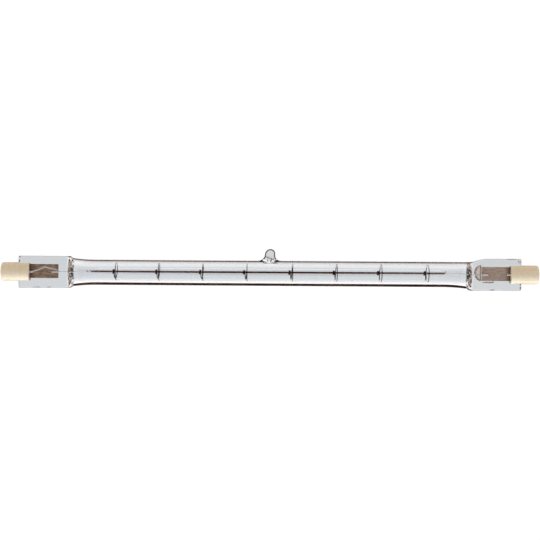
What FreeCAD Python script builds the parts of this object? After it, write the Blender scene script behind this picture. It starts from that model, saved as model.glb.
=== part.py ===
import FreeCAD, Part
import math
import os

# Double-ended linear halogen bulb with recessed end contacts, in millimetres.
# It is drawn with X along the lamp, Y towards the exhaust tip and Z square to the flat pinches,
# and is then rolled about X so that it lies on its tube and its tip, with Z up.
# The origin is on the axis of the tube, halfway between the two ends.

# Whole lamp and quartz tube
overall_length = 254.1
tube_diameter = 12.0
tube_wall = 1.2

# Flat pinch seals at the two ends of the tube
pinch_inset = 7.65
pinch_length = 22.9
pinch_width = 15.2
pinch_thickness = 3.0
pinch_crown_angle = 88.5
shoulder_length = 7.0
shoulder_width_span = (0.17, 0.64)
shoulder_thickness_span = (0.0, 0.6)
shoulder_steps = 9
bore_steps = 4
bore_setback = 0.9
bore_end_spread = 0.4
bore_end_thickness = 0.7

# Sealed exhaust tip on the side of the tube
tip_rise = 5.55
tip_place = 0.0
tip_lean = 5.0
knob_radius = 2.45
tip_blend = 2.8
exhaust_hole_radius = 0.9
exhaust_cover = 2.6

# Ceramic caps, their cement and the recessed contacts
cap_diameter = 9.0
cap_length = 12.9
cap_chamfer = 0.25
cement_thickness = 0.3
recess_diameter = 4.6
recess_depth = 1.7
contact_diameter = 3.6
contact_thickness = 1.0
seat_clearance = 0.05

# Molybdenum foils and the leads welded to them
foil_width = 6.65
foil_thickness = 0.06
foil_inner_inset = 4.0
foil_outer_inset = 2.0
foil_offset = 0.4
outer_lead_diameter = 0.7
outer_weld_length = 4.8
outer_lead_clearance = 0.1
inner_weld_length = 3.2
lead_sides = 8

# Coiled filament
coil_diameter = 1.3
coil_wire = 0.34
coil_end_gap = 11.55
coil_shift = -0.85
coil_offset = 0.45
lead_in_coil = 4.0
lead_clearance = 0.03
lead_straight = 1.5
lead_bend_steps = 3

# Spiral supports that hold the filament off the tube
support_count = 8
support_wire = 0.42
support_shift = 1.1
support_strays = (0.35, -0.35, -0.5, -0.6, 0.0, -0.05, 0.05, 1.2)
support_clearance = 0.03
ring_clearance = 0.05
ring_step = 1.05
step_turns = 0.75
wrap_turns = 1.75
spread_turns = 0.4
ring_turns = 0.85
support_steps_per_turn = 12
support_sides = 6

# Worked out from the sizes above
half_length = overall_length / 2
tube_radius = tube_diameter / 2
bore_radius = tube_radius - tube_wall
blade_outer = half_length - pinch_inset
blade_inner = blade_outer - pinch_length
tube_end = blade_inner - shoulder_length
bore_end = blade_inner - bore_setback
foil_inner = blade_inner + foil_inner_inset
foil_outer = blade_outer - foil_outer_inset
contact_face = half_length - recess_depth
contact_back = contact_face - contact_thickness
slot_bottom = blade_outer + cement_thickness
slot_height = pinch_thickness + 2 * cement_thickness
coil_radius = coil_diameter / 2
coil_bore_radius = coil_radius - coil_wire
coil_half_length = bore_end - coil_end_gap
inner_lead_diameter = 2 * (coil_bore_radius - lead_clearance)
tip_height = tube_radius + tip_rise
dome_centre = tip_height - knob_radius
rest_roll = math.degrees(math.asin((tube_radius - knob_radius) / dome_centre))

ROUND_ANGLE = 45.0
CURVE_SAMPLES = 9
SURFACE_TOLERANCE = 0.01
AXIS_X = FreeCAD.Vector(1, 0, 0)
AXIS_Y = FreeCAD.Vector(0, 1, 0)
AXIS_Z = FreeCAD.Vector(0, 0, 1)
ORIGIN = FreeCAD.Vector(0, 0, 0)


def point(x, y, z):
    return FreeCAD.Vector(x, y, z)


def rod(start, end, radius):
    """Round bar along X between two places."""
    return Part.makeCylinder(radius, end.x - start.x, start, AXIS_X)


def block(x_low, x_high, width, height, y_middle=0.0):
    """Box centred on the axis, with its width along Y and its height along Z."""
    corner = point(x_low, y_middle - width / 2, -height / 2)
    return Part.makeBox(x_high - x_low, width, height, corner)


def oval(x, half_width, half_thickness, meeting_angle):
    """Closed wire of four tangent arcs across the axis: 45 degrees is round, 90 would be flat."""
    sine = math.sin(math.radians(meeting_angle))
    cosine = math.cos(math.radians(meeting_angle))
    slope = (1 - sine) / cosine
    side_radius = (half_thickness - half_width * slope) / (sine - slope * (1 - cosine))
    corner_y = half_width - side_radius * (1 - cosine)
    corner_z = side_radius * sine
    front_up = point(x, corner_y, corner_z)
    back_up = point(x, -corner_y, corner_z)
    back_down = point(x, -corner_y, -corner_z)
    front_down = point(x, corner_y, -corner_z)
    arcs = [
        Part.Arc(front_up, point(x, 0, half_thickness), back_up),
        Part.Arc(back_up, point(x, -half_width, 0), back_down),
        Part.Arc(back_down, point(x, 0, -half_thickness), front_down),
        Part.Arc(front_down, point(x, half_width, 0), front_up),
    ]
    return Part.Wire([arc.toShape() for arc in arcs])


def prism(wire, length):
    """Solid with the wire as its section, drawn out along X."""
    return Part.Face(wire).extrude(point(length, 0, 0))


def ease(share):
    """Smooth step from 0 to 1."""
    held = min(max(share, 0), 1)
    return held * held * (3 - 2 * held)


def ease_over(span, share):
    """Smooth step that starts and ends at the two shares of the span."""
    start, end = span
    return ease((share - start) / (end - start))


def between(start, end, share):
    return start + (end - start) * share


def shoulder_sections(x_round, x_flat, radius, half_width, half_thickness, steps):
    """Sections of a round tube pressed flat, which change quickly near the flat end."""
    sections = []
    for step in range(steps + 1):
        share = step / steps
        across = ease_over(shoulder_width_span, share)
        through = ease_over(shoulder_thickness_span, share)
        section = oval(
            between(x_flat, x_round, share),
            between(half_width, radius, across),
            between(half_thickness, radius, through),
            between(pinch_crown_angle, ROUND_ANGLE, through),
        )
        sections.append(section)
    return sections


def wire_along(places, diameter, sides, across_hint):
    """Wire through the places, with a few flat sides so that its facets stay few."""
    sections = []
    last = len(places) - 1
    for number, place in enumerate(places):
        heading = places[min(number + 1, last)] - places[max(number - 1, 0)]
        outward = heading.cross(across_hint).normalize()
        across = outward.cross(heading).normalize()
        corners = []
        for side in range(sides + 1):
            angle = 2 * math.pi * (side + 0.5) / sides
            reach = outward * math.cos(angle) + across * math.sin(angle)
            corners.append(place + reach * (diameter / 2))
        sections.append(Part.makePolygon(corners))
    return Part.makeLoft(sections, True, True)


def flat_reach(diameter, sides):
    """Distance from the middle of such a wire to one of its flat sides."""
    return diameter / 2 * math.cos(math.pi / sides)


def mirrored(shape):
    """The same piece at the other end of the lamp."""
    return shape.mirror(ORIGIN, AXIS_X)


def tip_solid():
    """Round-ended knob of the sealed exhaust tube, turned about Y and leaning along X."""
    foot = point(0, 0, 0)
    knob_foot = point(knob_radius, 0, 0)
    equator = point(knob_radius, dome_centre, 0)
    dome_way = math.sqrt(0.5) * knob_radius
    dome = point(dome_way, dome_centre + dome_way, 0)
    peak = point(0, tip_height, 0)
    outline = Part.Wire([
        Part.LineSegment(foot, knob_foot).toShape(),
        Part.LineSegment(knob_foot, equator).toShape(),
        Part.Arc(equator, dome, peak).toShape(),
        Part.LineSegment(peak, foot).toShape(),
    ])
    return set_tip(Part.Face(outline).revolve(ORIGIN, AXIS_Y, 360))


def exhaust_hole():
    """Hole that the sealed exhaust tube leaves inside the tip."""
    height = tip_height - exhaust_cover
    return set_tip(Part.makeCylinder(exhaust_hole_radius, height, ORIGIN, AXIS_Y))


def set_tip(shape):
    """Lean a piece of the tip about the middle of its dome and put it at its place on the tube."""
    shape.rotate(point(0, dome_centre, 0), AXIS_Z, -tip_lean)
    shape.translate(point(tip_place, 0, 0))
    return shape


def on_tube_surface(edge):
    """True for the curve where the knob of the tip meets the round tube."""
    if edge.Degenerated:
        return False
    places = edge.discretize(CURVE_SAMPLES)
    near_tip = all(abs(place.x - tip_place) < 2 * knob_radius for place in places)
    off_tube = [abs(math.hypot(place.y, place.z) - tube_radius) for place in places]
    return near_tip and max(off_tube) < SURFACE_TOLERANCE and places[0].y > 0


def glass_blank():
    """Outside of the quartz: tube, tip, shoulders and flat pinches, as one piece."""
    tube_wire = oval(-tube_end, tube_radius, tube_radius, ROUND_ANGLE)
    tube = prism(tube_wire, 2 * tube_end).fuse(tip_solid())
    root = [edge for edge in tube.Edges if on_tube_surface(edge)]
    tube = tube.makeFillet(tip_blend, root)
    sections = shoulder_sections(
        tube_end, blade_inner, tube_radius, pinch_width / 2, pinch_thickness / 2, shoulder_steps
    )
    right_shoulder = Part.makeLoft(sections, True, True)
    right_blade = blade()
    ends = [right_shoulder, right_blade, mirrored(right_shoulder), mirrored(right_blade)]
    return tube.multiFuse(ends)


def blade():
    """Flat pressed end of the right-hand pinch, with round edges."""
    wire = oval(blade_inner, pinch_width / 2, pinch_thickness / 2, pinch_crown_angle)
    return prism(wire, pinch_length)


def glass_hollow():
    """Space inside the quartz: round bore, flattened ends and the hole in the tip."""
    bore_wire = oval(-tube_end, bore_radius, bore_radius, ROUND_ANGLE)
    bore = prism(bore_wire, 2 * tube_end)
    sections = shoulder_sections(
        tube_end, bore_end, bore_radius, bore_radius + bore_end_spread, bore_end_thickness / 2, bore_steps
    )
    right_end = Part.makeLoft(sections, True, True)
    return bore.multiFuse([right_end, mirrored(right_end), exhaust_hole()])


def foil():
    """Molybdenum foil sealed in the right-hand pinch."""
    return block(foil_inner, foil_outer, foil_width, foil_thickness, foil_offset)


def lead_height(diameter):
    """Height of a lead's middle when one of its flats lies on the foil."""
    return foil_thickness / 2 + flat_reach(diameter, lead_sides)


def outer_lead():
    """Lead from the foil to the back of the right-hand contact."""
    height = lead_height(outer_lead_diameter)
    start = point(foil_outer - outer_weld_length, 0, height)
    end = point(contact_back, 0, height)
    return wire_along([start, end], outer_lead_diameter, lead_sides, AXIS_Y)


def inner_lead(coil_end):
    """Lead that the filament hangs on, from inside the coil to its weld on the right-hand foil."""
    height = lead_height(inner_lead_diameter)
    bend_start = coil_end + lead_straight
    bend_end = bore_end - lead_straight
    places = [point(coil_end - lead_in_coil, coil_offset, 0), point(coil_end, coil_offset, 0)]
    for step in range(lead_bend_steps + 1):
        share = step / lead_bend_steps
        sway = ease(share)
        x = between(bend_start, bend_end, share)
        places.append(point(x, between(coil_offset, 0, sway), between(0, height, sway)))
    places.append(point(bore_end, 0, height))
    places.append(point(foil_inner + inner_weld_length, 0, height))
    return wire_along(places, inner_lead_diameter, lead_sides, AXIS_Y)


def filament_coil():
    """Envelope of the wound filament: a straight tube as thick as its wire."""
    start = point(coil_shift - coil_half_length, coil_offset, 0)
    end = point(coil_shift + coil_half_length, coil_offset, 0)
    return rod(start, end, coil_radius).cut(rod(start, end, coil_bore_radius))


def filament_support(x):
    """Support wrapped on the coil, which steps aside and opens out into a flat ring near the bore at x."""
    flat = flat_reach(support_wire, support_sides)
    wrap_radius = coil_radius + support_clearance + flat
    ring_radius = bore_radius - coil_offset - ring_clearance - flat
    wrap_pitch = support_wire + support_clearance
    total_turns = wrap_turns + spread_turns + ring_turns
    steps = round(total_turns * support_steps_per_turn)
    places = []
    for step in range(steps + 1):
        turns = total_turns * step / steps - wrap_turns
        radius = between(wrap_radius, ring_radius, ease(turns / spread_turns))
        advance = wrap_pitch * min(turns, 0) + ring_step * ease(turns / step_turns)
        angle = 2 * math.pi * turns
        y = coil_offset - radius * math.sin(angle)
        places.append(point(x - ring_step + advance, y, radius * math.cos(angle)))
    return wire_along(places, support_wire, support_sides, AXIS_X)


def ceramic_cap():
    """Right-hand ceramic cap: slot for the pinch, hole for the lead, recess for the contact."""
    start = point(half_length - cap_length, 0, 0)
    end = point(half_length, 0, 0)
    body = rod(start, end, cap_diameter / 2)
    outer_rim = [edge for edge in body.Edges if edge.BoundBox.XMin > half_length - cap_chamfer]
    body = body.makeChamfer(cap_chamfer, outer_rim)
    slot = block(start.x, slot_bottom, cap_diameter, slot_height)
    recess = rod(point(contact_face, 0, 0), end, recess_diameter / 2)
    seat_radius = contact_diameter / 2 + seat_clearance
    seat = rod(point(contact_back, 0, 0), point(contact_face, 0, 0), seat_radius)
    lead_axis = lead_height(outer_lead_diameter)
    hole_radius = outer_lead_diameter / 2 + outer_lead_clearance
    hole = rod(point(slot_bottom, 0, lead_axis), point(contact_back, 0, lead_axis), hole_radius)
    return body.cut(slot).cut(recess).cut(seat).cut(hole)


def cap_cement():
    """Cement that fills the right-hand cap's slot round the pinch."""
    start = half_length - cap_length
    fill = rod(point(start, 0, 0), point(slot_bottom, 0, 0), cap_diameter / 2 - cap_chamfer)
    slot = block(start, slot_bottom, cap_diameter, slot_height)
    return fill.common(slot).cut(blade()).cut(outer_lead())


def contact():
    """Right-hand contact button, flush with the floor of the recess."""
    return rod(point(contact_back, 0, 0), point(contact_face, 0, 0), contact_diameter / 2)


def supports():
    """All filament supports, evenly spaced along the coil apart from their small strays."""
    spacing = 2 * coil_half_length / support_count
    first = coil_shift - coil_half_length + spacing / 2 + support_shift
    made = {}
    for number in range(support_count):
        stray = support_strays[number % len(support_strays)]
        made["filament_support_%d" % (number + 1)] = filament_support(first + spacing * number + stray)
    return made


def end_pieces():
    """Pieces that both ends of the lamp have, drawn at the right and mirrored to the left."""
    right_lead = inner_lead(coil_shift + coil_half_length)
    left_lead = mirrored(inner_lead(coil_half_length - coil_shift))
    pieces = {"inner_lead_right": right_lead, "inner_lead_left": left_lead}
    makers = {
        "foil": foil,
        "outer_lead": outer_lead,
        "ceramic_cap": ceramic_cap,
        "cap_cement": cap_cement,
        "contact": contact,
    }
    for name, make in makers.items():
        pieces[name + "_right"] = make()
        pieces[name + "_left"] = mirrored(make())
    return pieces


def quartz_envelope(pieces):
    """Quartz of the lamp, pressed round the foils and leads that it holds."""
    glass = glass_blank().cut(glass_hollow())
    for name in ("foil", "outer_lead", "inner_lead"):
        glass = glass.cut(pieces[name + "_right"]).cut(pieces[name + "_left"])
    return glass.removeSplitter()


def main():
    pieces = end_pieces()
    pieces["filament_coil"] = filament_coil()
    pieces.update(supports())
    pieces["quartz_envelope"] = quartz_envelope(pieces)
    os.makedirs("parts", exist_ok=True)
    for name, shape in pieces.items():
        shape.rotate(ORIGIN, AXIS_X, -rest_roll)
        solid = shape.Solids[0]
        solid.exportStep("parts/%s.step" % name)
        print(name, len(shape.Solids), solid.isValid(), round(solid.Volume, 3))


main()
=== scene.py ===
import math

import bmesh
import bpy
from mathutils import Matrix, Vector


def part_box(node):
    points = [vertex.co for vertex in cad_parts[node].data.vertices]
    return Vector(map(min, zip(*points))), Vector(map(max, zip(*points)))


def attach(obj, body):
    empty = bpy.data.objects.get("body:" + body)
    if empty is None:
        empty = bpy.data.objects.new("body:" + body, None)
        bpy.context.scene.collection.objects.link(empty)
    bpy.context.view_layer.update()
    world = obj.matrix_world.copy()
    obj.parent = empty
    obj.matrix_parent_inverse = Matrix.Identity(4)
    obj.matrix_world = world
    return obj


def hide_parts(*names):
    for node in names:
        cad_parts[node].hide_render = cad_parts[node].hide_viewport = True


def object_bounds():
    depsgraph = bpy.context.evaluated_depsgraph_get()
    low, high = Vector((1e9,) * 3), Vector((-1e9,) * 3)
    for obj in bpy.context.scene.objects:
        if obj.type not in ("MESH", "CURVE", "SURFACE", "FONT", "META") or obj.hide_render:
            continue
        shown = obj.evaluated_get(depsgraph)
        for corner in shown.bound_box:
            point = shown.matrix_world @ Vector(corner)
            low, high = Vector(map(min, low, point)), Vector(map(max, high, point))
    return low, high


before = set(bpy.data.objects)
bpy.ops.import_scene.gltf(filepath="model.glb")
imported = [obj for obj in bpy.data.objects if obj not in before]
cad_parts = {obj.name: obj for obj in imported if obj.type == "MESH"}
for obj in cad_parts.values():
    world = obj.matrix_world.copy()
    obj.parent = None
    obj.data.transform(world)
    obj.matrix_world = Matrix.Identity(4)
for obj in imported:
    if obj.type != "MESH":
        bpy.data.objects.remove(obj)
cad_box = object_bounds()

# Double-ended linear halogen bulb, lying on its tube and its exhaust tip.
# Shapes are drawn in millimetres with X along the lamp, Y towards the exhaust tip and Z square to the
# flat pinches, and are then rolled about X into the frame. Where the pieces lie along X is read from it.
MM = 0.001


def span(node):
    """Lowest and highest place of a node along X, in millimetres."""
    low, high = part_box(node)
    return low.x / MM, high.x / MM


# Places along the lamp, from the frame
cap_start, half_length = span("ceramic_cap_right")
blade_outer = span("quartz_envelope")[1]
foil_inner, foil_outer = span("foil_right")
coil_start, coil_end = span("filament_coil")
contact_back, contact_face = span("contact_right")
slot_bottom = span("cap_cement_right")[1]

# Quartz tube and pinches
tube_radius = 6.0
bore_radius = 4.8
pinch_length = 22.9
pinch_half_width = 7.6
pinch_half_thickness = 1.5
pinch_crown_angle = 88.5
pinch_edge_round = 0.5
shoulder_length = 7.0
shoulder_width_span = (0.17, 0.64)
shoulder_thickness_span = (0.0, 0.6)
lens_length = 3.4
bore_setback = 0.9
bore_end_spread = 0.4
bore_end_half_thickness = 0.35
round_angle = 45.0
around = 128
shoulder_rows = 28
flat_rows = 8
edge_rows = 6

# Where the right-hand pinch widens late, and where and how far the tube widens before its shoulders
late_span = (95.0, 102.3)
early_span = (82.0, 94.0)
early_reach = 0.75
early_rows = 8

# Exhaust tip
tip_height = 11.55
tip_lean = 5.0
knob_radius = 2.45
tip_blend = 2.8
crease_height = 7.05
crease_slope = 0.38
crease_width = 0.3
crease_depth = 0.12
crease_floor_share = 0.8
crease_axis_guard = 1e-6
seam_half_width = 0.2
exhaust_radius = 0.9
exhaust_blend = 0.6
exhaust_foot = 0.6
exhaust_top = 8.95
window_half_length = 6.6
window_rows = 16
window_half_steps = 16
foot_steps = 5
blend_rows = 48
flare_rows = 24
dome_steps = 12

# Wires
coil_radius = 0.65
filament_radius = 0.52
filament_wire = 0.28
coil_pitch = 0.38
coil_offset = 0.45
tail_length = 2.6
tail_pitch = 1.7
hook_reach = (0.6, 0.75)
support_count = 8
support_wire = 0.42
support_clearance = 0.03
ring_clearance = 0.05
ring_step = 1.05
step_turns = 0.75
wrap_turns = 1.75
spread_turns = 0.4
ring_turns = 0.85
outer_lead_wire = 0.7
inner_lead_wire = 0.56
lead_in_coil = 4.0
lead_straight = 1.5
weld_outer = 4.8
weld_inner = 3.2
filament_turn_steps = 16
filament_sides = 6
support_steps = 100
support_sides = 10
lead_bend_steps = 16
lead_sides = 16

# Foils, with the corners of the crease in the left-hand one
foil_half_width = 3.325
foil_half_thickness = 0.03
foil_offset = 0.4
foil_crease = [(113.4, 0.0), (107.0, 2.26), (101.3, 1.0)]
foil_burnt_length = 6.0
foil_crease_height = 0.32
foil_crease_width = 0.32
foil_length_steps = 80
foil_width_steps = 48

# Gap, press marks and bubbles in the glass, as their middles and reaches
lead_gap_end = 100.4
lead_gap_reach = (3.4, 3.9, 0.8)
lead_gap_wall = 6.0
lead_gap_round = 0.5
lead_gap_middle = 0.85
lead_gap_first_angle = 0.02
lead_gap_rows = 28
lead_gap_sides = 48
bubble_rows = 16
bubble_sides = 24
press_marks = [
    ((103.5, -3.65, 0.0), (2.6, 0.42, 0.5)),
    ((106.0, -3.5, 0.3), (0.4, 0.5, 0.5)),
    ((-118.9, 7.0, 0.0), (0.3, 0.4, 0.8)),
    ((-118.9, 5.2, 0.0), (0.3, 0.7, 0.9)),
    ((118.9, -4.6, 0.0), (0.3, 0.5, 0.9)),
    ((118.9, -6.2, 0.0), (0.35, 0.6, 0.8)),
    ((-110.8, -6.95, 0.0), (1.9, 0.18, 0.5)),
    ((-105.1, -6.95, 0.0), (1.4, 0.18, 0.5)),
    ((114.9, 7.2, 0.0), (2.6, 0.18, 0.4)),
    ((105.7, -7.0, 0.0), (0.95, 0.25, 0.5)),
    ((-95.2, 6.9, 0.0), (0.55, 0.4, 0.8)),
    ((-95.6, -6.4, 0.0), (0.4, 0.35, 0.7)),
]
clear_bubbles = [
    ((118.5, 6.3, 0.0), (0.6, 0.75, 0.6)),
    ((38.65, -3.1, 4.5), (0.22, 0.22, 0.22)),
]

# Ceramic caps and contacts
cap_radius = 4.5
cap_round = 0.25
recess_radius = 2.3
seat_radius = 1.85
recess_chamfer = 0.2
contact_radius = 1.8
contact_rim = 0.2
contact_dish = 0.18
slot_half_height = 1.8
slot_overcut = 1.0
turned_sides = 96
turned_edge_steps = 5
dish_steps = 10

# Angles from which an edge is shaded sharp, on most pieces and on the quartz
sharp_edge_angle = 35.0
quartz_sharp_angle = 60.0

# Worked out
blade_inner = blade_outer - pinch_length
tube_end = blade_inner - shoulder_length
bore_end = blade_inner - bore_setback
dome_centre = tip_height - knob_radius
rest_roll = math.asin((tube_radius - knob_radius) / dome_centre)
to_frame = Matrix.Rotation(-rest_roll, 4, "X") @ Matrix.Scale(MM, 4)
toward_tip = Matrix.Rotation(-rest_roll, 3, "X") @ Vector((0, 1, 0))
off_pinch = Matrix.Rotation(-rest_roll, 3, "X") @ Vector((0, 0, 1))


# Small helpers for shapes
def between(start, end, share):
    """Value a share of the way from start to end."""
    return start + (end - start) * share


def ease(share):
    """Share that starts and stops gently, held between 0 and 1."""
    held = min(max(share, 0.0), 1.0)
    return held * held * (3 - 2 * held)


def ease_over(limits, share):
    """Gentle share of the way between two limits."""
    start, end = limits
    return ease((share - start) / (end - start))


def steps(start, end, count):
    """Evenly spaced values, both ends included."""
    return [between(start, end, number / count) for number in range(count + 1)]


class Shell:
    """Points and faces of one closed skin."""

    def __init__(self):
        self.points = []
        self.faces = []

    def add(self, row):
        """Adds a row of points, and gives their indices."""
        first = len(self.points)
        self.points.extend(Vector(place) for place in row)
        return list(range(first, len(self.points)))

    def bridge(self, first, second, closed=True):
        """Quads between two rows with as many points."""
        count = len(first)
        for number in range(count if closed else count - 1):
            after = (number + 1) % count
            self.faces.append((first[number], first[after], second[after], second[number]))

    def close_flat(self, row):
        """Closes a flat oval end by joining its two long sides."""
        half = len(row) // 2
        for number in range(half):
            corners = (row[number], row[number + 1], row[-number - 1], row[-number % len(row)])
            self.faces.append(tuple(dict.fromkeys(corners)))

    def close_round(self, row, place):
        """Closes a round end with a fan."""
        middle = self.add([place])[0]
        for number in range(len(row)):
            self.faces.append((row[number], row[(number + 1) % len(row)], middle))

    def loft(self, rows):
        """Skin through closed rows, and their indices."""
        made = [self.add(row) for row in rows]
        for first, second in zip(made, made[1:]):
            self.bridge(first, second)
        return made


def build(name, shells, finish, nodes=(), hollows=(), sharp_angle=sharp_edge_angle):
    """One piece from closed skins, rolled into the frame, shaded smooth and riding on the lamp."""
    whole = bmesh.new()
    for shell in list(shells) + list(hollows):
        part = bmesh.new()
        made = [part.verts.new(place) for place in shell.points]
        for face in shell.faces:
            part.faces.new([made[number] for number in face])
        bmesh.ops.recalc_face_normals(part, faces=part.faces)
        if shell in hollows:
            bmesh.ops.reverse_faces(part, faces=part.faces)
        loose = bpy.data.meshes.new("loose")
        part.to_mesh(loose)
        part.free()
        whole.from_mesh(loose)
        bpy.data.meshes.remove(loose)
    bmesh.ops.transform(whole, matrix=to_frame, verts=whole.verts)
    mesh = bpy.data.meshes.new(name)
    whole.to_mesh(mesh)
    whole.free()
    mesh.shade_smooth()
    mesh.set_sharp_from_angle(angle=math.radians(sharp_angle))
    mesh.materials.append(finish)
    piece = bpy.data.objects.new(name, mesh)
    bpy.context.scene.collection.objects.link(piece)
    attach(piece, "root")
    if nodes:
        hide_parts(*nodes)
    return piece


# Quartz envelope
def oval(x, half_width, half_thickness, meeting_angle):
    """Points of four tangent arcs across the axis, starting on the tip side: 45 degrees is round."""
    meeting = math.radians(meeting_angle)
    slope = (1 - math.sin(meeting)) / math.cos(meeting)
    side = (half_thickness - half_width * slope) / (math.sin(meeting) - slope * (1 - math.cos(meeting)))
    corner_y = half_width - side * (1 - math.cos(meeting))
    crown = corner_y / math.cos(meeting)
    crown_z = half_thickness - crown
    quarter = around // 4
    row = []
    for number in range(around):
        place = number + quarter // 2
        arc, step = divmod(place, quarter)
        share = step / quarter
        if arc % 2 == 0:
            angle = between(-meeting, meeting, share)
            y = half_width - side + side * math.cos(angle)
            z = side * math.sin(angle)
        else:
            angle = between(meeting, math.pi - meeting, share)
            y = crown * math.cos(angle)
            z = crown_z + crown * math.sin(angle)
        turn = -1 if arc in (2, 3) else 1
        row.append((x, turn * y, turn * z))
    return row


def pressed(x, share, radius, half_width, half_thickness):
    """Section of the tube where it is pressed flat: share 0 is flat and 1 is round."""
    across = ease_over(shoulder_width_span, share)
    through = ease_over(shoulder_thickness_span, share)
    return oval(
        x,
        between(half_width, radius, across),
        between(half_thickness, radius, through),
        between(pinch_crown_angle, round_angle, through),
    )


def end_rows(x_round, x_flat, radius, half_width, half_thickness):
    """Rows from the round tube to the flat, at the right-hand end."""
    rows = []
    for share in steps(1.0, 0.0, shoulder_rows):
        x = between(x_flat, x_round, share)
        rows.append(pressed(x, share, radius, half_width, half_thickness))
    return rows


def blade_rows():
    """Rows of the flat blade out to its rounded end."""
    rows = []
    for x in steps(blade_inner, blade_outer - pinch_edge_round, flat_rows)[1:]:
        rows.append(oval(x, pinch_half_width, pinch_half_thickness, pinch_crown_angle))
    for angle in steps(0.0, math.pi / 2, edge_rows)[1:]:
        x = blade_outer - pinch_edge_round * (1 - math.sin(angle))
        inset = pinch_edge_round * (1 - math.cos(angle))
        rows.append(oval(x, pinch_half_width - inset, pinch_half_thickness - inset, pinch_crown_angle))
    return rows


def turned_left(rows):
    """The same rows at the left-hand end, in order from the end to the tube."""
    return [[(-x, y, z) for x, y, z in row] for row in reversed(rows)]


def early_widening(rows, sides):
    """The same rows with the tube widening and flattening a little before its shoulder.

    It widens on the side away from the tip if sides is -1, and on both if it is 0.
    """
    start, end = early_span
    changed = []
    for x in steps(start, tube_end, early_rows)[:-1]:
        changed.append(oval(x, tube_radius, tube_radius, round_angle))
    changed += rows
    for number, row in enumerate(changed):
        x = row[0][0]
        width = max(y for _, y, _ in row)
        wanted = tube_radius + early_reach * min((x - start) / (end - start), 1.0) ** 2
        share = max(wanted / width, 1.0)
        changed[number] = [(x, y * share if y * sides >= 0 else y, z / share) for x, y, z in row]
    return changed


def late_widening(rows):
    """The same rows with their tip side widening later, as the right-hand pinch does."""
    changed = []
    for row in rows:
        x = row[0][0]
        width = max(y for _, y, _ in row)
        wanted = between(tube_radius, width, ease_over(late_span, x))
        share = min(wanted / width, 1.0)
        changed.append([(x, y * share if y > 0 else y, z) for x, y, z in row])
    return changed


def wall_with_branch(radius, left_rows, right_rows, blend, profile):
    """Closed skin of a tube wall with flattened ends and a round branch on its tip side.

    Its branch_start and knob_start are the numbers of the first faces of the branch and of its upper part.
    """
    shell = Shell()
    left = shell.loft(left_rows)
    middle = [shell.add(oval(x, radius, radius, round_angle))
              for x in steps(-window_half_length, window_half_length, window_rows)]
    right = shell.loft(right_rows)
    shell.bridge(left[-1], middle[0])
    shell.bridge(middle[-1], right[0])
    shell.close_flat(left[0])
    shell.close_flat(right[-1])
    window = list(range(-window_half_steps, window_half_steps + 1))
    outside = list(range(window_half_steps, around - window_half_steps + 1))
    for first, second in zip(middle, middle[1:]):
        shell.bridge([first[n] for n in outside], [second[n] for n in outside], closed=False)
    edge = [middle[0][n] for n in window[:-1]]
    edge += [row[window_half_steps] for row in middle[:-1]]
    edge += [middle[-1][n] for n in reversed(window[1:])]
    edge += [row[-window_half_steps] for row in reversed(middle[1:])]
    last = edge
    for row in foot_rows([shell.points[n] for n in edge], radius, blend, profile[0][0]):
        made = shell.add(row)
        shell.bridge(last, made)
        last = made
    shell.branch_start = len(shell.faces)
    for number, row in enumerate(branch_rows([shell.points[n] for n in edge], radius, blend, profile)):
        if number == flare_rows:
            shell.knob_start = len(shell.faces)
        made = shell.add(row)
        shell.bridge(last, made)
        last = made
    peak = (leaned(0.0, profile[-1][1]), profile[-1][1], 0.0)
    shell.close_round(last, peak)
    return shell


def leaned(x, y):
    """Place along X of a point of the tip, which leans about the middle of its dome."""
    return x + (y - dome_centre) * math.tan(math.radians(tip_lean))


def compass(place, radius):
    """Direction of a point on the tube's wall, seen from the foot of the branch."""
    return math.atan2(radius * math.atan2(place.z, place.y), place.x)


def blend_centre(heading, radius, blend, stem_radius):
    """Middle of a ball that rolls in the corner between the tube and the branch."""
    reach = stem_radius + blend
    z = reach * math.sin(heading)
    return Vector((reach * math.cos(heading), math.sqrt((radius + blend) ** 2 - z ** 2), z))


def foot_rows(edge, radius, blend, stem_radius):
    """Rows on the tube's wall from the window's edge to the foot of the branch."""
    rows = []
    for share in steps(0.0, 1.0, foot_steps)[1:]:
        row = []
        for place in edge:
            centre = blend_centre(compass(place, radius), radius, blend, stem_radius)
            foot_angle = math.atan2(centre.z, centre.y)
            foot_x = leaned(centre.x, radius * math.cos(foot_angle))
            angle = between(math.atan2(place.z, place.y), foot_angle, share)
            x = between(place.x, foot_x, share)
            row.append((x, radius * math.cos(angle), radius * math.sin(angle)))
        rows.append(row)
    return rows


def branch_rows(edge, radius, blend, profile):
    """Rows from the foot of the branch up its rolled blend and along its profile."""
    stem_radius = profile[0][0]
    headings = [compass(place, radius) for place in edge]
    rows = []
    for share in steps(0.0, 1.0, blend_rows)[1:]:
        row = []
        for heading in headings:
            centre = blend_centre(heading, radius, blend, stem_radius)
            down = Vector((0, -centre.y, -centre.z)).normalized()
            inward = Vector((-math.cos(heading), 0, -math.sin(heading)))
            place = centre + down.slerp(inward, share) * blend
            row.append((leaned(place.x, place.y), place.y, place.z))
        rows.append(row)
    for reach, y in profile[:-1]:
        rows.append([(leaned(reach * math.cos(h), y), y, reach * math.sin(h)) for h in headings])
    return rows


def dome(radius, centre):
    """Profile of a round end, from its equator to its peak."""
    angles = steps(0.0, math.pi / 2, dome_steps)
    return [(radius * math.cos(angle), centre + radius * math.sin(angle)) for angle in angles]


def creased(place):
    """Pulls in a point of the tip where the sloping crease that the seal left runs across it."""
    x, y, z = place
    away = (y - crease_height + crease_slope * x) / crease_width
    pull = crease_depth * math.exp(-away * away) / math.hypot(x, z, crease_axis_guard)
    return x * (1 - pull), y, z * (1 - pull)


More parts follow.
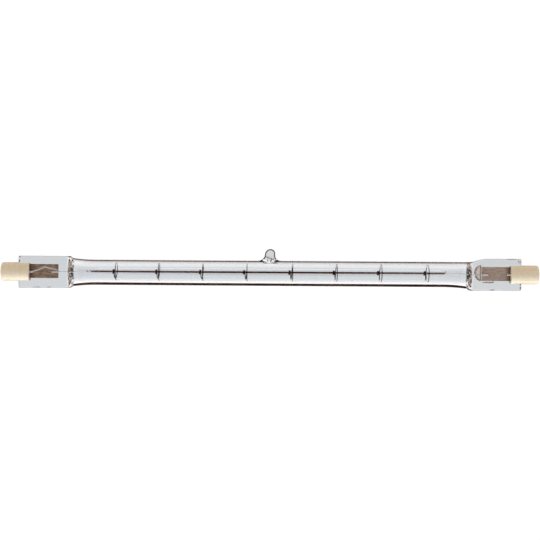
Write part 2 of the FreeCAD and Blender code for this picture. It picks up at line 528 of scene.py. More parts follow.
def exhaust_profile():
    """Outline of the sealed hole inside the tip."""
    top = exhaust_top - exhaust_radius
    return [(exhaust_radius, tube_radius + exhaust_foot)] + dome(exhaust_radius, top)


def bubble(middle, reach):
    """Round or drawn-out bubble in the glass."""
    shell = Shell()
    rows = []
    for angle in steps(0.0, math.pi, bubble_rows)[1:-1]:
        ring = []
        for turn in steps(0.0, 2 * math.pi, bubble_sides)[:-1]:
            way = (math.cos(angle), math.sin(angle) * math.cos(turn), math.sin(angle) * math.sin(turn))
            ring.append([place + size * part for place, size, part in zip(middle, reach, way)])
        rows.append(ring)
    made = shell.loft(rows)
    shell.close_round(made[0], (middle[0] + reach[0], middle[1], middle[2]))
    shell.close_round(made[-1], (middle[0] - reach[0], middle[1], middle[2]))
    return shell


def lead_gap():
    """Flat arch-shaped gap round the inner lead, where the pinch stops short of the foil."""
    long, wide, thick = lead_gap_reach
    rows = []
    for angle in steps(lead_gap_first_angle, math.pi / 2, lead_gap_rows)[:-1]:
        x = lead_gap_end - long * math.sin(angle)
        end_share = math.sqrt(min((lead_gap_end - x) / lead_gap_round, 1.0))
        width = wide * math.cos(angle)
        ring = []
        for turn in steps(0.0, 2 * math.pi, lead_gap_sides)[:-1]:
            y = width * math.cos(turn)
            out = math.hypot(math.sin(angle), y / wide)
            depth = thick * end_share * (1 - min(out, 1.0) ** lead_gap_wall)
            ring.append((x, lead_gap_middle + y, math.copysign(depth, math.sin(turn))))
        rows.append(ring)
    shell = Shell()
    made = shell.loft(rows)
    shell.close_round(made[0], (lead_gap_end, lead_gap_middle, 0.0))
    shell.close_round(made[-1], (lead_gap_end - long, lead_gap_middle, 0.0))
    return shell


def quartz_envelope(finishes):
    """Quartz with its bore, bubbles and marks, and a finish of its own on each stretch of its faces."""
    outside = end_rows(tube_end, blade_inner, tube_radius, pinch_half_width, pinch_half_thickness)
    outside += blade_rows()
    inside = end_rows(
        tube_end, bore_end, bore_radius, bore_radius + bore_end_spread, bore_end_half_thickness
    )
    skin = wall_with_branch(
        tube_radius,
        turned_left(early_widening(outside, 0)),
        late_widening(early_widening(outside, -1)),
        tip_blend,
        dome(knob_radius, dome_centre),
    )
    first_tip_point = min(min(face) for face in skin.faces[skin.branch_start:])
    for number in range(first_tip_point, len(skin.points)):
        place = skin.points[number]
        if place.y > tube_radius * crease_floor_share and abs(place.x) < tip_height:
            skin.points[number] = Vector(creased(place))
    hollow = wall_with_branch(bore_radius, turned_left(inside), inside, exhaust_blend, exhaust_profile())
    clear = [hollow] + [bubble(middle, reach) for middle, reach in clear_bubbles]
    gaps = [lead_gap()] + [bubble(middle, reach) for middle, reach in press_marks]
    glass = build(
        "quartz_glass", [skin], finishes["tube"], ["quartz_envelope"], clear + gaps,
        quartz_sharp_angle,
    )
    glass.data.materials.clear()
    for finish in finishes.values():
        glass.data.materials.append(finish)
    numbers = {name: number for number, name in enumerate(finishes)}
    stretches = [
        ("tube", skin.branch_start),
        ("flare", skin.knob_start - skin.branch_start),
        ("knob", len(skin.faces) - skin.knob_start),
        ("bore", sum(len(shell.faces) for shell in clear)),
        ("gap", sum(len(shell.faces) for shell in gaps)),
    ]
    first = 0
    for name, count in stretches:
        for face in glass.data.polygons[first:first + count]:
            face.material_index = numbers[name]
        first += count
    for face in glass.data.polygons[:skin.branch_start]:
        place = abs(face.center.x) / MM
        if place > blade_inner:
            face.material_index = numbers["blade"]
        elif place > blade_inner - lens_length:
            face.material_index = numbers["shoulder"]


# Wires
def wire(shell, path, diameter, sides):
    """Round wire along a path, with flat ends."""
    last = len(path) - 1
    path = [Vector(place) for place in path]
    across = None
    rows = []
    for number, place in enumerate(path):
        heading = (path[min(number + 1, last)] - path[max(number - 1, 0)]).normalized()
        if across is None:
            across = heading.orthogonal()
        across = (across - heading * across.dot(heading)).normalized()
        up = heading.cross(across)
        ring = []
        for side in range(sides):
            angle = 2 * math.pi * side / sides
            ring.append(place + (across * math.cos(angle) + up * math.sin(angle)) * diameter / 2)
        rows.append(ring)
    made = shell.loft(rows)
    shell.close_round(made[0], path[0])
    shell.close_round(made[-1], path[-1])


def filament(finish):
    """The wound filament, turn by turn, with a drawn-out tail on the left and a hook on the right."""
    shell = Shell()
    middle_radius = filament_radius - filament_wire / 2
    start = coil_start + filament_wire / 2
    length = coil_end - coil_start - filament_wire
    tail_turns = tail_length / tail_pitch
    turns = length / coil_pitch
    path = []
    for turn in steps(-tail_turns, turns, round((turns + tail_turns) * filament_turn_steps)):
        x = start + coil_pitch * max(turn, 0.0) + tail_pitch * min(turn, 0.0)
        angle = 2 * math.pi * (turn - turns)
        path.append((x, coil_offset + middle_radius * math.cos(angle), middle_radius * math.sin(angle)))
    x, y, z = path[-1]
    path.append((x + hook_reach[0] / 2, y + hook_reach[1] / 2, z + middle_radius))
    path.append((x + hook_reach[0], y + hook_reach[1], z + middle_radius))
    wire(shell, path, filament_wire, filament_sides)
    build("filament", [shell], finish, ["filament_coil"])


def support(number, finish):
    """Spiral support, wrapped on the coil and opening out into a ring near the bore."""
    solid = "filament_support_%d" % number
    low, high = span(solid)
    reach = support_wire / 2
    wrap_radius = coil_radius + support_clearance + reach
    ring_radius = bore_radius - coil_offset - ring_clearance - reach
    wrap_pitch = support_wire + support_clearance
    open_turns = spread_turns + ring_turns
    wrap_end = (low + high + wrap_pitch * wrap_turns - ring_step) / 2
    path = []
    for turns in steps(-wrap_turns, open_turns, support_steps):
        radius = between(wrap_radius, ring_radius, ease(turns / spread_turns))
        x = wrap_end + wrap_pitch * min(turns, 0) + ring_step * ease(turns / step_turns)
        angle = 2 * math.pi * turns
        path.append((x, coil_offset - radius * math.sin(angle), radius * math.cos(angle)))
    shell = Shell()
    wire(shell, path, support_wire, support_sides)
    build("support_ring_%d" % number, [shell], finish, [solid])


def inner_lead(side, sign, end, finish):
    """Lead from inside the coil to its weld on the foil."""
    height = foil_half_thickness + inner_lead_wire / 2
    path = [(end - lead_in_coil, coil_offset, 0.0), (end, coil_offset, 0.0)]
    for share in steps(0.0, 1.0, lead_bend_steps):
        x = between(end + lead_straight, bore_end - lead_straight, share)
        path.append((x, between(coil_offset, 0.0, ease(share)), between(0.0, height, ease(share))))
    path.append((bore_end, 0.0, height))
    path.append((foil_inner + weld_inner, 0.0, height))
    shell = Shell()
    wire(shell, [(sign * x, y, z) for x, y, z in path], inner_lead_wire, lead_sides)
    build("inner_lead_wire_" + side, [shell], finish, ["inner_lead_" + side])


def outer_lead(side, sign, finish):
    """Lead from the foil to the back of the contact."""
    height = foil_half_thickness + outer_lead_wire / 2
    shell = Shell()
    path = [(sign * x, 0.0, height) for x in (foil_outer - weld_outer, contact_back)]
    wire(shell, path, outer_lead_wire, lead_sides)
    build("outer_lead_wire_" + side, [shell], finish, ["outer_lead_" + side])


# Foils
def crease_relief(x, y):
    """Height of the foil's crease at a place, counted outward along X and towards the tip."""
    place = Vector((x, y))
    nearest = foil_half_width
    for start, end in zip(foil_crease, foil_crease[1:]):
        start, end = Vector(start), Vector(end)
        stretch = end - start
        share = min(max((place - start).dot(stretch) / stretch.length_squared, 0.0), 1.0)
        nearest = min(nearest, (place - start - stretch * share).length)
    return foil_crease_height * math.exp(-((nearest / foil_crease_width) ** 2))


def foil(side, sign, finish):
    """Thin foil sealed in the pinch, with a crease across the left-hand one that carries a painted
    highlight.
    """
    shell = Shell()
    rows = []
    for x in steps(foil_inner, foil_outer, foil_length_steps):
        upper = []
        lower = []
        for y in steps(foil_offset - foil_half_width, foil_offset + foil_half_width, foil_width_steps):
            relief = crease_relief(x, y) if side == "left" else 0.0
            upper.append((sign * x, y, relief + foil_half_thickness))
            lower.append((sign * x, y, relief - foil_half_thickness))
        rows.append(upper + lower[-2:0:-1])
    made = shell.loft(rows)
    shell.close_flat(made[0])
    shell.close_flat(made[-1])
    sheet = build("foil_sheet_" + side, [shell], finish, ["foil_" + side])
    if side == "left":
        # Painted highlight along the left-hand crease, strongest on its ridge
        crease_highlight = sheet.data.attributes.new("crease_highlight", "FLOAT", "POINT")
        for number, place in enumerate(shell.points):
            crease_highlight.data[number].value = crease_relief(abs(place.x), place.y) / foil_crease_height


# Ceramic caps and contacts
def turned(profile, sign):
    """Skin turned about the lamp's axis, from a profile of places and radii that starts and ends on it."""
    shell = Shell()
    rows = []
    for x, radius in profile[1:-1]:
        ring = []
        for number in range(turned_sides):
            angle = 2 * math.pi * number / turned_sides
            ring.append((sign * x, radius * math.cos(angle), radius * math.sin(angle)))
        rows.append(ring)
    made = shell.loft(rows)
    shell.close_round(made[0], (sign * profile[0][0], 0.0, 0.0))
    shell.close_round(made[-1], (sign * profile[-1][0], 0.0, 0.0))
    return shell


def rounded(x, radius, size):
    """Points of a rounded edge whose sharp corner is at x and radius, going outward along the lamp."""
    points = []
    for angle in steps(0.0, math.pi / 2, turned_edge_steps):
        points.append((x - size * (1 - math.sin(angle)), radius - size * (1 - math.cos(angle))))
    return points


def ceramic_cap(side, sign, finish):
    """Turned ceramic cap with its slot cut for the pinch."""
    inner_edge = [(2 * cap_start - x, r) for x, r in rounded(cap_start, cap_radius, cap_round)]
    profile = [(cap_start, 0.0), (cap_start, cap_radius - cap_round)]
    profile += inner_edge[-2::-1]
    profile += rounded(half_length, cap_radius, cap_round)
    profile += [(half_length, recess_radius + recess_chamfer), (half_length - recess_chamfer, recess_radius)]
    profile += [(contact_face, recess_radius), (contact_face, seat_radius)]
    profile += [(contact_back, seat_radius), (contact_back, 0.0)]
    body = build("ceramic_" + side, [turned(profile, sign)], finish, ["ceramic_cap_" + side])
    slot = Shell()
    reach = cap_radius + slot_overcut
    low, high = sorted((sign * (cap_start - slot_overcut), sign * slot_bottom))
    corners = [(-reach, -slot_half_height), (reach, -slot_half_height),
               (reach, slot_half_height), (-reach, slot_half_height)]
    made = slot.loft([[(x, y, z) for y, z in corners] for x in (low, high)])
    slot.faces.append(tuple(made[0]))
    slot.faces.append(tuple(made[1]))
    cutter = build("cutter", [slot], finish)
    cut = body.modifiers.new("slot", "BOOLEAN")
    cut.object = cutter
    cut.operation = "DIFFERENCE"
    cut.solver = "EXACT"
    apply_modifiers(body)
    bpy.data.objects.remove(cutter)


def apply_modifiers(piece):
    """Turns what the modifiers make into the piece's own mesh."""
    bpy.context.view_layer.update()
    graph = bpy.context.evaluated_depsgraph_get()
    mesh = bpy.data.meshes.new_from_object(piece.evaluated_get(graph))
    piece.modifiers.clear()
    piece.data = mesh
    mesh.shade_smooth()
    mesh.set_sharp_from_angle(angle=math.radians(sharp_edge_angle))


def contact(side, sign, finish):
    """Contact button with a rounded rim and a shallow dish."""
    flat_radius = contact_radius - contact_rim
    profile = [(contact_back, 0.0), (contact_back, contact_radius)]
    profile += rounded(contact_face, contact_radius, contact_rim)
    for share in steps(0.0, 1.0, dish_steps)[1:]:
        profile.append((contact_face - contact_dish * ease(share), flat_radius * (1 - share)))
    build("contact_button_" + side, [turned(profile, sign)], finish, ["contact_" + side])


# Materials
# Refractive index of the quartz, and a lower one for the flare of the tip, which the true one turns black
QUARTZ_INDEX = 1.458
FLARE_INDEX = 1.12

# How far the quartz's painted light and shade may run past a face's own turn, and how far its two sides,
# painted apart as the light falls on them, run into each other
SLANT_MARGIN = 0.02
SIDE_BLEND = 0.3

# Stops of the quartz's colour, from faces seen square on to faces seen edge on. The grey of the faces is
# partly the quartz's own tint and partly painted shade. The bright bands and dark brown edges are painted
# light and shade standing in for the room seen through the glass, and the side away from the tip has
# broader, darker painted edges than the side of the tip
FLAT_TINT_AND_SHADE = (0.54, 0.565, 0.585)
FACE_TINT_AND_SHADE = (0.68, 0.705, 0.725)
BLADE_TINT_AND_SHADE = (0.635, 0.655, 0.67)
DARK_EDGE = (0.0006, 0.0002, 0.0001)
LOW_EDGE_STOPS = [
    (0.0, FLAT_TINT_AND_SHADE),
    (0.02, FACE_TINT_AND_SHADE),
    (0.10, FACE_TINT_AND_SHADE),
    (0.15, (0.88, 0.88, 0.88)),
    (0.21, (0.97, 0.97, 0.97)),
    (0.38, (0.95, 0.95, 0.95)),
    (0.392, (0.5, 0.34, 0.26)),
    (0.402, DARK_EDGE),
    (0.78, DARK_EDGE),
    (0.82, (0.07, 0.033, 0.02)),
    (0.92, (0.5, 0.41, 0.35)),
]
HIGH_EDGE_STOPS = [
    (0.0, FLAT_TINT_AND_SHADE),
    (0.02, FACE_TINT_AND_SHADE),
    (0.09, FACE_TINT_AND_SHADE),
    (0.14, (0.92, 0.93, 0.94)),
    (0.18, (1.0, 1.0, 1.0)),
    (0.23, (1.0, 1.0, 1.0)),
    (0.31, (0.70, 0.70, 0.71)),
    (0.40, (0.55, 0.53, 0.52)),
    (0.48, (0.38, 0.34, 0.32)),
    (0.57, (0.015, 0.007, 0.005)),
    (0.73, (0.015, 0.007, 0.005)),
    (0.80, (0.9, 0.86, 0.84)),
]
BLADE_EDGE_STOPS = [
    (0.40, BLADE_TINT_AND_SHADE),
    (0.60, (0.52, 0.52, 0.53)),
]
SHOULDER_EDGE_STOPS = [
    (0.0, FLAT_TINT_AND_SHADE),
    (0.02, FACE_TINT_AND_SHADE),
    (0.10, FACE_TINT_AND_SHADE),
    (0.17, (0.90, 0.90, 0.90)),
    (0.32, (0.90, 0.89, 0.88)),
    (0.37, (0.065, 0.030, 0.018)),
    (0.50, (0.065, 0.030, 0.018)),
    (0.55, DARK_EDGE),
    (0.75, DARK_EDGE),
    (0.90, (0.5, 0.48, 0.46)),
]
KNOB_EDGE_STOPS = [
    (0.16, (0.66, 0.68, 0.69)),
    (0.28, (0.60, 0.585, 0.58)),
    (0.44, (0.010, 0.004, 0.0025)),
    (0.75, (0.003, 0.001, 0.0006)),
    (0.95, (0.3, 0.25, 0.22)),
]
FLARE_EDGE_STOPS = [
    (0.20, (0.96, 0.95, 0.94)),
    (0.84, (0.96, 0.94, 0.92)),
    (0.90, (0.03, 0.014, 0.009)),
]
GAP_EDGE_STOPS = [
    (0.0, (0.97, 0.84, 0.74)),
    (0.05, (0.62, 0.48, 0.40)),
    (0.18, (0.12, 0.07, 0.05)),
    (0.35, (0.01, 0.004, 0.0025)),
]

# Brown mottle in the painted dark edges, as features per metre along each axis and stops, and the brown band
# across the tip along its crease
EDGE_MOTTLE = ((60.0, 200.0, 200.0), [(0.45, (0.0, 0.0, 0.0)), (0.68, (0.01, 0.003, 0.0015))])
SHOULDER_MOTTLE = ((150.0, 1100.0, 1100.0), [(0.46, (0.0, 0.0, 0.0)), (0.62, (0.48, 0.33, 0.25))])
SEAM_BROWN = (0.05, 0.02, 0.012, 1)

# Ripples in the gap round the lead, per metre and in metres
RIPPLE_SCALE = 1600.0
RIPPLE_HEIGHT = 0.0004

# Support wire, from beside the filament to the wall of the bore
SUPPORT_STOPS = [
    (0.25, (0.07, 0.035, 0.025)),
    (0.45, (0.13, 0.09, 0.075)),
    (0.65, (0.42, 0.38, 0.36)),
    (0.90, (0.80, 0.78, 0.77)),
]

# Foils: streaks per metre along each axis, and colours of the burnt end, the painted highlight along the
# crease and the streaks
FOIL_STREAKS = (400.0, 1800.0, 1800.0)
FOIL_BURNT = (0.165, 0.048, 0.018, 1)
FOIL_CREASE_HIGHLIGHT = (1.0, 0.92, 0.85, 1)
FOIL_DARK_STOPS = [(0.36, (0.335, 0.19, 0.105)), (0.64, (0.785, 0.54, 0.37))]
FOIL_PALE_STOPS = [(0.36, (0.72, 0.45, 0.31)), (0.64, (1.0, 0.80, 0.62))]

# Colours of the other opaque finishes
CERAMIC_STOPS = [(0.35, (0.705, 0.545, 0.345)), (0.65, (0.755, 0.60, 0.395))]
CEMENT_STOPS = [(0.3, (0.55, 0.52, 0.47)), (0.7, (0.68, 0.65, 0.6))]
TUNGSTEN_STOPS = [(0.3, (0.13, 0.045, 0.02)), (0.7, (0.28, 0.095, 0.04))]
TUNGSTEN_EDGE = (0.5, 0.17, 0.08)
SUPPORT_EDGE = (0.5, 0.3, 0.25)
LEAD_STOPS = [(0.3, (0.95, 0.90, 0.84)), (0.7, (1.0, 0.96, 0.90))]
NICKEL_STOPS = [(0.3, (0.6, 0.58, 0.55)), (0.7, (0.7, 0.68, 0.65))]


def new_material(name):
    """Material with an empty node tree."""
    made = bpy.data.materials.new(name)
    made.use_nodes = True
    made.node_tree.nodes.clear()
    return made


def node(finish, kind, **sockets):
    """New node with values on some of its sockets, named with underscores for spaces."""
    made = finish.node_tree.nodes.new(kind)
    for key, value in sockets.items():
        made.inputs[key.replace("_", " ")].default_value = value
    return made


def link(finish, source, target):
    """Joins the output of one node to the input of another."""
    finish.node_tree.links.new(source, target)


def feed(finish, socket, value):
    """Joins the output of a node to an input, or sets the input to a plain value."""
    if isinstance(value, bpy.types.NodeSocket):
        link(finish, value, socket)
    else:
        socket.default_value = value


def show(finish, shader):
    """Puts a shader on the surface."""
    output = node(finish, "ShaderNodeOutputMaterial")
    link(finish, shader, output.inputs["Surface"])


def arithmetic(finish, operation, *values):
    """One sum on numbers and the outputs of other nodes."""
    made = node(finish, "ShaderNodeMath")
    made.operation = operation
    for socket, value in zip(made.inputs, values):
        feed(finish, socket, value)
    return made.outputs["Value"]


def share_between(finish, value, start, end):
    """How far a value has come from start to end, held between 0 and 1."""
    made = node(finish, "ShaderNodeMapRange", From_Min=start, From_Max=end)
    link(finish, value, made.inputs["Value"])
    return made.outputs["Result"]


def mixed(finish, share, first, second, blend="MIX"):
    """Two colours mixed by a share."""
    made = node(finish, "ShaderNodeMix")
    made.data_type = "RGBA"
    made.blend_type = blend
    feed(finish, made.inputs["Factor"], share)
    feed(finish, made.inputs["A"], first)
    feed(finish, made.inputs["B"], second)
    return made.outputs["Result"]


def along(finish, direction, kind="Object"):
    """How far a place, a normal or a way into the room lies along a direction."""
    place = node(finish, "ShaderNodeTexCoord")
    distance = node(finish, "ShaderNodeVectorMath")
    distance.operation = "DOT_PRODUCT"
    distance.inputs[1].default_value = direction
    link(finish, place.outputs[kind], distance.inputs[0])
    return distance.outputs["Value"]


def slant(finish, side, limited):
    """How far a face is seen edge on, from 0 to 1, which sets where the quartz's painted light and shade go.

    Where it is limited, it goes no further than the face's own turn away from the flat of the pinches, so
    that the tube stays clear when it is seen along its length.
    """
    edge = node(finish, "ShaderNodeLayerWeight", Blend=0.5).outputs["Facing"]
    if not limited:
        return edge
    square = arithmetic(finish, "MULTIPLY", side, side)
    upright = arithmetic(finish, "SQRT", arithmetic(finish, "SUBTRACT", 1.0, square))
    return arithmetic(finish, "MINIMUM", edge, arithmetic(finish, "SUBTRACT", 1.0 + SLANT_MARGIN, upright))


def seamed(finish, tint_and_painted_light):
    """The same colour, with its painted light and shade, and a brown band across the tip along its crease.
    """
    height = along(finish, toward_tip + Vector((crease_slope, 0, 0)))
    away = arithmetic(finish, "ABSOLUTE", arithmetic(finish, "SUBTRACT", height, crease_height * MM))
    share = share_between(finish, away, seam_half_width * MM, seam_half_width * MM / 2)
    return mixed(finish, share, tint_and_painted_light, SEAM_BROWN)


def two_sided_painted_edges(finish, low_stops, high_stops, mottle, limited):
    """Painted light and shade on the quartz's edges, darker on the side away from the tip than on the side
    of the tip as the light falls, with brown mottle in the dark.
    """
    side = along(finish, toward_tip, "Normal")
    share = share_between(finish, side, -SIDE_BLEND, SIDE_BLEND)
    edge = slant(finish, side, limited)
    tint_and_painted_light = mixed(finish, share, ramp(finish, edge, low_stops), ramp(finish, edge, high_stops))
    features, mottle_stops = mottle
    brown = ramp(finish, streaks(finish, features), mottle_stops)
    return mixed(finish, 1.0, tint_and_painted_light, brown, "LIGHTEN")


def glass_material(name, low_stops=None, high_stops=None, mottle=EDGE_MOTTLE, ripple_height=0.0,
                   seam=False, index=QUARTZ_INDEX, limited=False):
    """Clear quartz that lets the lights through. Where it has stops, its colour holds painted light and
    shade: grey faces, partly its own tint, and bright bands and dark brown edges standing in for the room
    seen through it.

    The side of the tip has the same stops as the other side, unless it is given stops of its own.
    """
    finish = new_material(name)
    glass = node(
        finish, "ShaderNodeBsdfPrincipled", Base_Color=(1, 1, 1, 1), Roughness=0.0, IOR=index,
        Transmission_Weight=1.0,
    )
    if low_stops:
        tint_and_painted_light = two_sided_painted_edges(finish, low_stops, high_stops or low_stops, mottle, limited)
        if seam:
            tint_and_painted_light = seamed(finish, tint_and_painted_light)
        # Painted light and shade, partly the quartz's own tint, in both the colour and the mirrored colour
        link(finish, tint_and_painted_light, glass.inputs["Base Color"])
        link(finish, tint_and_painted_light, glass.inputs["Specular Tint"])
    if ripple_height:
        ripple = node(finish, "ShaderNodeBump", Strength=1.0, Distance=ripple_height)
        link(finish, noise(finish, RIPPLE_SCALE), ripple.inputs["Height"])
        link(finish, ripple.outputs["Normal"], glass.inputs["Normal"])
    clear = node(finish, "ShaderNodeBsdfTransparent")
    path = node(finish, "ShaderNodeLightPath")
    mix = node(finish, "ShaderNodeMixShader")
    link(finish, path.outputs["Is Shadow Ray"], mix.inputs["Fac"])
    link(finish, glass.outputs["BSDF"], mix.inputs[1])
    link(finish, clear.outputs["BSDF"], mix.inputs[2])
    show(finish, mix.outputs["Shader"])
    return finish


def noise(finish, scale):
    """Noise on the object's own coordinates, with its scale in features per metre."""
    place = node(finish, "ShaderNodeTexCoord")
    made = node(finish, "ShaderNodeTexNoise", Scale=scale, Detail=4.0, Roughness=0.5)
    link(finish, place.outputs["Object"], made.inputs["Vector"])
    return made.outputs["Fac"]


def streaks(finish, scale):
    """Noise drawn out by a different scale along each axis, in features per metre."""
    place = node(finish, "ShaderNodeTexCoord")
    stretch = node(finish, "ShaderNodeMapping", Scale=scale)
    link(finish, place.outputs["Object"], stretch.inputs["Vector"])
    made = node(finish, "ShaderNodeTexNoise", Scale=1.0, Detail=5.0, Roughness=0.6)
    link(finish, stretch.outputs["Vector"], made.inputs["Vector"])
    return made.outputs["Fac"]


def ramp(finish, source, stops):
    """Colour of a number between 0 and 1, by its stops."""
    made = node(finish, "ShaderNodeValToRGB")
    colours = made.color_ramp.elements
    while len(colours) < len(stops):
        colours.new(0.5)
    for element, (place, colour) in zip(colours, stops):
        element.position = place
        element.color = (*colour, 1)
    link(finish, source, made.inputs["Fac"])
    return made.outputs["Color"]


def finished(finish, colour, bump_source, bump_height, metallic, roughness, edge=(1, 1, 1), gloss=0.5):
    """Opaque shader with a colour, a fine bump and, for metals, the colour of its glancing edges."""
    shader = node(
        finish, "ShaderNodeBsdfPrincipled", Metallic=metallic, Roughness=roughness,
        Specular_Tint=(*edge, 1), Specular_IOR_Level=gloss,
    )
    bump = node(finish, "ShaderNodeBump", Strength=1.0, Distance=bump_height)
    link(finish, colour, shader.inputs["Base Color"])
    link(finish, bump_source, bump.inputs["Height"])
    link(finish, bump.outputs["Normal"], shader.inputs["Normal"])
    show(finish, shader.outputs["BSDF"])


def surface(name, colour_stops, noise_scale, bump_scale, bump_height, **shading):
    """Opaque finish with mottled colour and a fine bump."""
    finish = new_material(name)
    colour = ramp(finish, noise(finish, noise_scale), colour_stops)
    finished(finish, colour, noise(finish, bump_scale), bump_height, **shading)
    return finish


def support_material(name, colour_stops, bump_scale, bump_height, **shading):
    """Wire coloured dark beside the filament and pale near the wall of the bore."""
    finish = new_material(name)
    away = arithmetic(finish, "ABSOLUTE", along(finish, toward_tip / (bore_radius * MM)))
    colour = ramp(finish, away, colour_stops)
    finished(finish, colour, noise(finish, bump_scale), bump_height, **shading)
    return finish


def foil_material(name, colour_stops, sign):
    """Brown oxidised metal with rolling streaks along the lamp, a burnt outer end and a painted highlight
    along the crease.
    """
    finish = new_material(name)
    grain = streaks(finish, FOIL_STREAKS)
    burnt_start = (foil_outer - foil_burnt_length) * MM
    burnt_full = (foil_outer - foil_burnt_length / 2) * MM
    burnt = share_between(finish, along(finish, (sign, 0, 0)), burnt_start, burnt_full)
    tone = mixed(finish, burnt, ramp(finish, grain, colour_stops), FOIL_BURNT)
    # Painted highlight, near white, along the crease
    crease_highlight = node(finish, "ShaderNodeAttribute")
    crease_highlight.attribute_name = "crease_highlight"
    highlighted = mixed(finish, crease_highlight.outputs["Fac"], tone, FOIL_CREASE_HIGHLIGHT)
    finished(finish, highlighted, grain, bump_height=0.00006, metallic=0.6, roughness=0.4)
    return finish


# Camera, lights and floor: the lamp in the photo in pixels, lengths in millimetres and reaches in metres
photo_side = 540
lamp_half_pixels = 269.65
lamp_middle_pixel = (269.95, 273.35)
lamp_tilt = math.radians(0.38)
camera_distance = 470.0
camera_reach = (0.005, 50.0)
sensor_width = 36.0
floor_reach = 20.0

# Brightness of the room from straight below, over the horizon, to straight above
ROOM_STOPS = [
    (0.0, (0.07, 0.032, 0.02)),
    (0.52, (0.07, 0.032, 0.02)),
    (0.57, (0.85, 0.83, 0.80)),
    (0.70, (0.55, 0.52, 0.49)),
    (0.88, (0.10, 0.065, 0.05)),
]

# What the camera sees behind the lamp, and the colour and the glow of the floor
ROOM_BEHIND = (0.96, 0.96, 0.96, 1)
FLOOR_GREY = (0.08, 0.08, 0.08, 1)
FLOOR_GLOW = 0.96


def camera():
    """Looks square at the flat of the pinches, with the lamp nearly level and a little below the middle."""
    nearness = camera_distance / (camera_distance - cap_radius)
    pixel = half_length * nearness / lamp_half_pixels
    lengthwise = Vector((1, 0, 0))
    right = lengthwise * math.cos(lamp_tilt) + toward_tip * math.sin(lamp_tilt)
    up = toward_tip * math.cos(lamp_tilt) - lengthwise * math.sin(lamp_tilt)
    target = right * (photo_side / 2 - lamp_middle_pixel[0]) * pixel
    target += up * (lamp_middle_pixel[1] - photo_side / 2) * pixel
    data = bpy.data.cameras.new("camera")
    data.sensor_width = sensor_width
    data.lens = sensor_width * camera_distance / (photo_side * pixel)
    data.clip_start, data.clip_end = camera_reach
    view = bpy.data.objects.new("camera", data)
    turn = Matrix((right, up, off_pinch)).transposed().to_4x4()
    view.matrix_world = Matrix.Translation((target + off_pinch * camera_distance) * MM) @ turn
    bpy.context.scene.collection.objects.link(view)
    bpy.context.scene.camera = view


def area_light(name, place, size, power, mirrored=False, colour=(1, 1, 1)):
    """Soft panel aimed at the lamp, whose shape the pieces mirror only if mirrored is set."""
    data = bpy.data.lights.new(name, "AREA")
    data.shape = "RECTANGLE"
    data.size, data.size_y = size
    data.energy = power
    data.color = colour
    light = bpy.data.objects.new(name, data)
    light.location = place
    light.rotation_euler = (-Vector(place)).to_track_quat("-Z", "Y").to_euler()
    light.visible_glossy = mirrored
    light.visible_transmission = False
    bpy.context.scene.collection.objects.link(light)


def floor():
    """Plain sheet under the lamp that glows white like a light table."""
    height = cad_box[0][2]
    corners = [(-1, -1), (1, -1), (1, 1), (-1, 1)]
    mesh = bpy.data.meshes.new("floor")
    mesh.from_pydata([(x * floor_reach, y * floor_reach, height) for x, y in corners], [], [(0, 1, 2, 3)])
    sheet = bpy.data.objects.new("floor", mesh)
    bpy.context.scene.collection.objects.link(sheet)
    finish = new_material("white_sheet")
    shader = node(
        finish, "ShaderNodeBsdfPrincipled", Base_Color=FLOOR_GREY, Roughness=0.9, Specular_IOR_Level=0.0,
        Emission_Color=(1, 1, 1, 1), Emission_Strength=FLOOR_GLOW,
    )
    show(finish, shader.outputs["BSDF"])
    mesh.materials.append(finish)
    sheet.visible_glossy = False


def surroundings():
    """Room that the glass mirrors and the camera doesn't see, and how far light is followed."""
    scene = bpy.context.scene
    world = bpy.data.worlds.new("room")
    world.use_nodes = True
    height = share_between(world, along(world, (0, 0, 1), "Generated"), -1.0, 1.0)
    path = node(world, "ShaderNodeLightPath")
    seen = mixed(world, path.outputs["Is Camera Ray"], ramp(world, height, ROOM_STOPS), ROOM_BEHIND)
    link(world, seen, world.node_tree.nodes["Background"].inputs["Color"])
    scene.world = world
    scene.view_settings.view_transform = "Standard"
    scene.cycles.use_denoising = True
    scene.cycles.max_bounces = 24
    scene.cycles.transmission_bounces = 20
    scene.cycles.transparent_max_bounces = 24


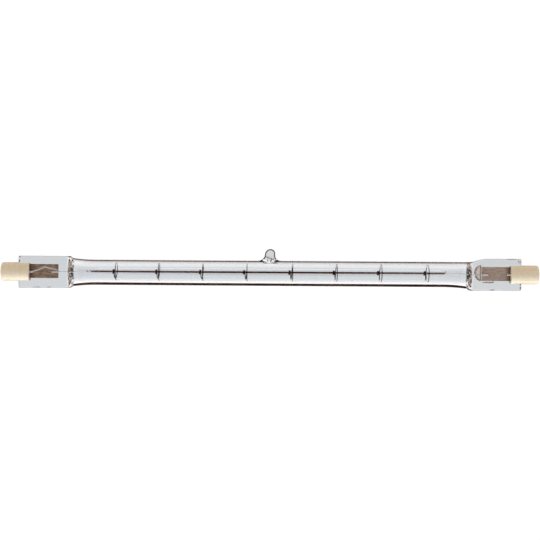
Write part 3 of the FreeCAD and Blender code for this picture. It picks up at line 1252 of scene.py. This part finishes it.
def main():
    """Makes the finishes, dresses the lamp and lights it."""
    # Quartz finishes whose colour holds painted light and shade, all but the clear bore
    quartz = {
        "tube": glass_material("quartz", LOW_EDGE_STOPS, HIGH_EDGE_STOPS, limited=True),
        "flare": glass_material("quartz_flare", FLARE_EDGE_STOPS, seam=True, index=FLARE_INDEX),
        "knob": glass_material("quartz_knob", KNOB_EDGE_STOPS, seam=True),
        "bore": glass_material("quartz_bore"),
        "gap": glass_material(
            "quartz_gap", GAP_EDGE_STOPS, mottle=SHOULDER_MOTTLE, ripple_height=RIPPLE_HEIGHT
        ),
        "shoulder": glass_material("quartz_shoulder", SHOULDER_EDGE_STOPS, mottle=SHOULDER_MOTTLE),
        "blade": glass_material("quartz_blade", BLADE_EDGE_STOPS),
    }
    ceramic = surface(
        "ceramic", CERAMIC_STOPS, noise_scale=700.0, bump_scale=2500.0, bump_height=0.00003,
        metallic=0.0, roughness=0.4, gloss=1.0,
    )
    cement = surface(
        "cement", CEMENT_STOPS, noise_scale=1500.0, bump_scale=4000.0, bump_height=0.00008,
        metallic=0.0, roughness=0.9,
    )
    tungsten = surface(
        "tungsten", TUNGSTEN_STOPS, noise_scale=900.0, bump_scale=6000.0, bump_height=0.00001,
        metallic=1.0, roughness=0.45, edge=TUNGSTEN_EDGE,
    )
    supports = support_material(
        "support_wire", SUPPORT_STOPS, bump_scale=6000.0, bump_height=0.00001,
        metallic=1.0, roughness=0.45, edge=SUPPORT_EDGE,
    )
    lead = surface(
        "lead_wire", LEAD_STOPS, noise_scale=900.0, bump_scale=6000.0, bump_height=0.00001,
        metallic=0.1, roughness=0.4,
    )
    nickel = surface(
        "contact_metal", NICKEL_STOPS, noise_scale=1200.0, bump_scale=5000.0, bump_height=0.00001,
        metallic=1.0, roughness=0.25,
    )
    foils = {
        "left": foil_material("foil_dark", FOIL_DARK_STOPS, -1),
        "right": foil_material("foil_pale", FOIL_PALE_STOPS, 1),
    }
    quartz_envelope(quartz)
    filament(tungsten)
    for number in range(1, support_count + 1):
        support(number, supports)
    for side, sign, end in (("left", -1, -coil_start), ("right", 1, coil_end)):
        inner_lead(side, sign, end, lead)
        outer_lead(side, sign, lead)
        foil(side, sign, foils[side])
        ceramic_cap(side, sign, ceramic)
        contact(side, sign, nickel)
        cement_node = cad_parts["cap_cement_" + side]
        cement_node.data.materials.clear()
        cement_node.data.materials.append(cement)
    camera()
    floor()
    surroundings()
    area_light("key", place=(0.0, -0.475, 0.704), size=(1.2, 0.5), power=10.8, colour=(0.625, 0.78, 1.0))
    area_light("fill", place=(0.0, 0.85, 0.1), size=(1.2, 0.5), power=3.4)
    area_light("low_strip", place=(0.0, -0.8, 0.3), size=(1.2, 0.44), power=3.8, mirrored=True)
    area_light("high_strip", place=(0.0, 0.834, -0.337), size=(1.2, 0.42), power=1.2, mirrored=True)
    for x in (-0.7, 0.7):
        area_light("end_fill", place=(x, 0.0, 0.06), size=(0.3, 0.1), power=1.0)


main()
